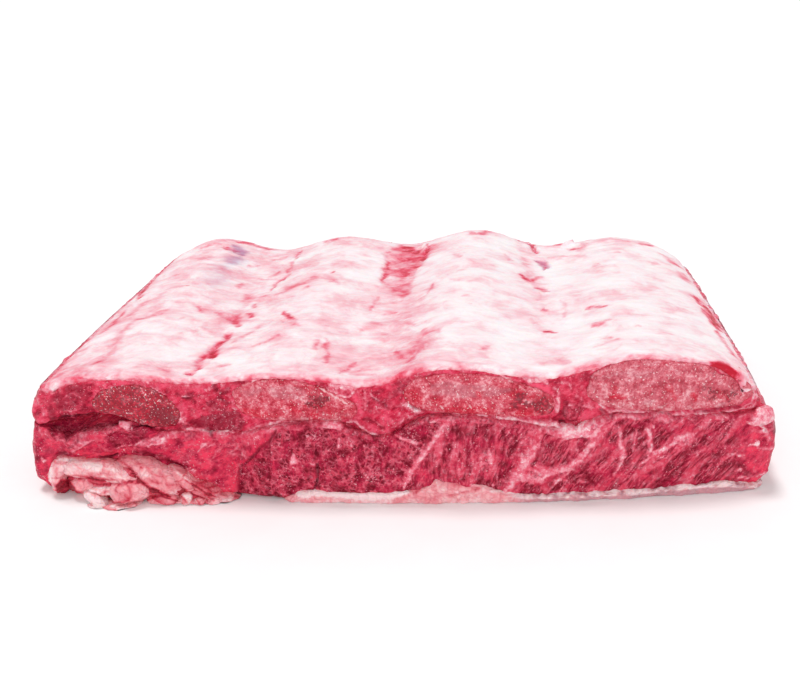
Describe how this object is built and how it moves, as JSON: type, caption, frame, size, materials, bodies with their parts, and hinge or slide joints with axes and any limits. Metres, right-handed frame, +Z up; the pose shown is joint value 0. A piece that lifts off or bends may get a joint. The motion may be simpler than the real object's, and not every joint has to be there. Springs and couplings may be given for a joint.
{
  "type": "raw beef short ribs",
  "caption": "Raw beef short rib slab lying bone side up: sawn ribs in a layer of rib meat under a pale membrane, over marbled muscle with a fat cap.",
  "frame": {"origin": "middle of the slab's base, on the surface it lies on", "axes": "+X across the ribs, towards the widest rib; +Y along the ribs, from the front cut to the back cut; +Z up, from the fat cap to the membrane"},
  "size_m": [0.2796, 0.196, 0.0554],
  "materials": {
    "membrane": "moist translucent membrane over fat and meat, pale pink with red streaks, satin gloss",
    "rib_meat": "raw red meat between the ribs, wet, with pale fat seams",
    "bone": "sawn rib bone with a pale rim and a red spongy core",
    "lower_muscle": "raw dark red beef with fine white marbling, moist",
    "fat": "raw beef fat, pale pink to white, waxy and moist"
  },
  "bodies": {
    "root": {"membrane": "membrane", "rib_meat": "rib_meat", "rib_bone_1": "bone", "rib_bone_2": "bone", "rib_bone_3": "bone", "rib_bone_4": "bone", "lower_muscle": "lower_muscle", "fat_cap": "fat", "fat_trim": "fat"}
  },
  "joints": []
}
